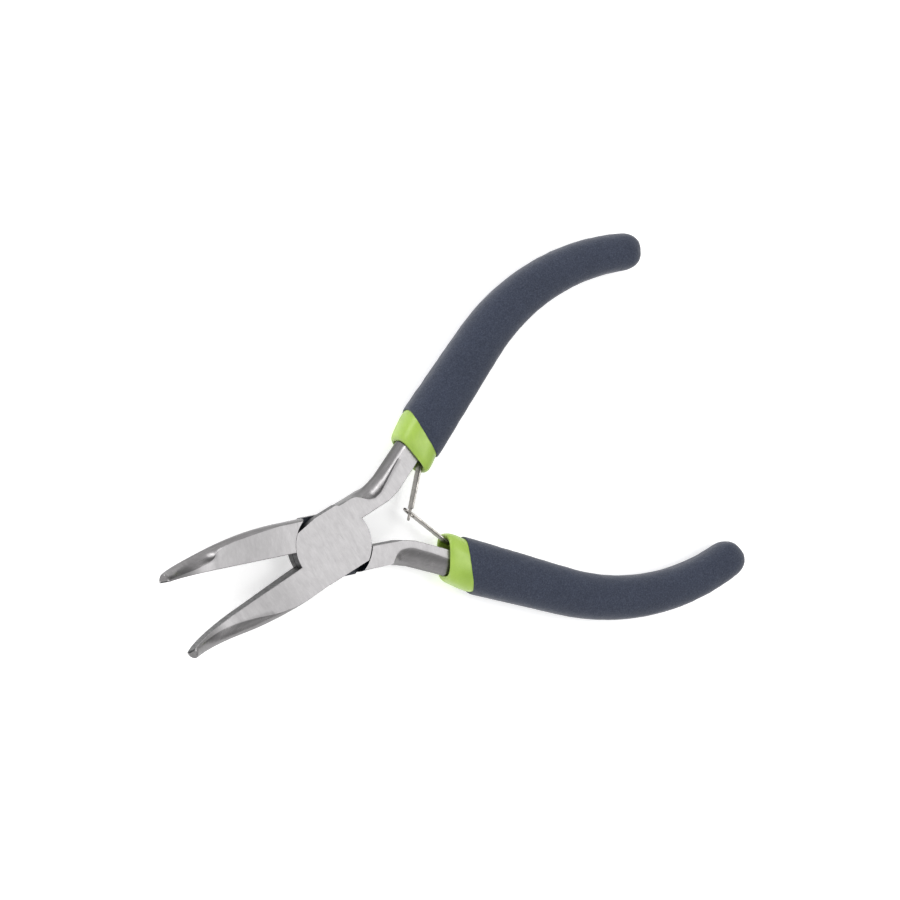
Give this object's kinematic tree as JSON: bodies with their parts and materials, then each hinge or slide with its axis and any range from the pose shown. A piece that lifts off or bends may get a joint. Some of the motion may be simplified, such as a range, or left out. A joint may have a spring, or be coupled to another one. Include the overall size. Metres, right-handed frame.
{
  "type": "bent nose pliers",
  "caption": "Small bent nose pliers with a flush lap joint, foam grips, vinyl collars and a double leaf return spring.",
  "frame": {"origin": "on the pivot axis, in the back face of the lap joint", "axes": "+X from the joint towards the handles, +Y towards the handle of the front half, +Z out of the front face, the way that the jaw tips bend"},
  "size_m": [0.1336, 0.0864, 0.0132],
  "materials": {
    "steel": "brushed flat faces, polished rounded edges",
    "rivet_steel": "ground flush with the joint",
    "spring_steel": "bare spring strip",
    "green_vinyl": "smooth lime green vinyl with a soft gloss",
    "slate_foam": "matt slate blue closed-cell foam with a fine grain"
  },
  "bodies": {
    "front": {"front_half": "steel", "pivot_rivet": "rivet_steel", "upper_spring_foot": "spring_steel", "upper_spring_rivet": "rivet_steel", "upper_collar": "green_vinyl", "upper_grip": "slate_foam"},
    "back": {"back_half": "steel", "lower_spring_foot": "spring_steel", "lower_spring_rivet": "rivet_steel", "lower_collar": "green_vinyl", "lower_grip": "slate_foam"},
    "upper_leaf": {"upper_spring_blade": "spring_steel"},
    "lower_leaf": {"lower_spring_blade": "spring_steel"}
  },
  "joints": [
    {"name": "pivot", "type": "hinge", "parent": "front", "child": "back", "pos_m": [0, 0, 0.0031], "axis": [0, 0, 1], "range_deg": [0, 22.1], "stiffness_Nm_per_rad": 0.8, "springref_deg": -14.32},
    {"name": "upper_leaf_flex", "type": "hinge", "parent": "front", "child": "upper_leaf", "pos_m": [0.02511, 0.00845, 0.0031], "axis": [0, 0, 1], "range_deg": [-26.5, 0]},
    {"name": "lower_leaf_flex", "type": "hinge", "parent": "back", "child": "lower_leaf", "pos_m": [0.02511, -0.00845, 0.0031], "axis": [0, 0, 1], "range_deg": [0, 26.5]}
  ],
  "couplings": [
    {"joint": "upper_leaf_flex", "follows": "pivot", "ratio": -1.169},
    {"joint": "lower_leaf_flex", "follows": "pivot", "ratio": 1.169}
  ]
}
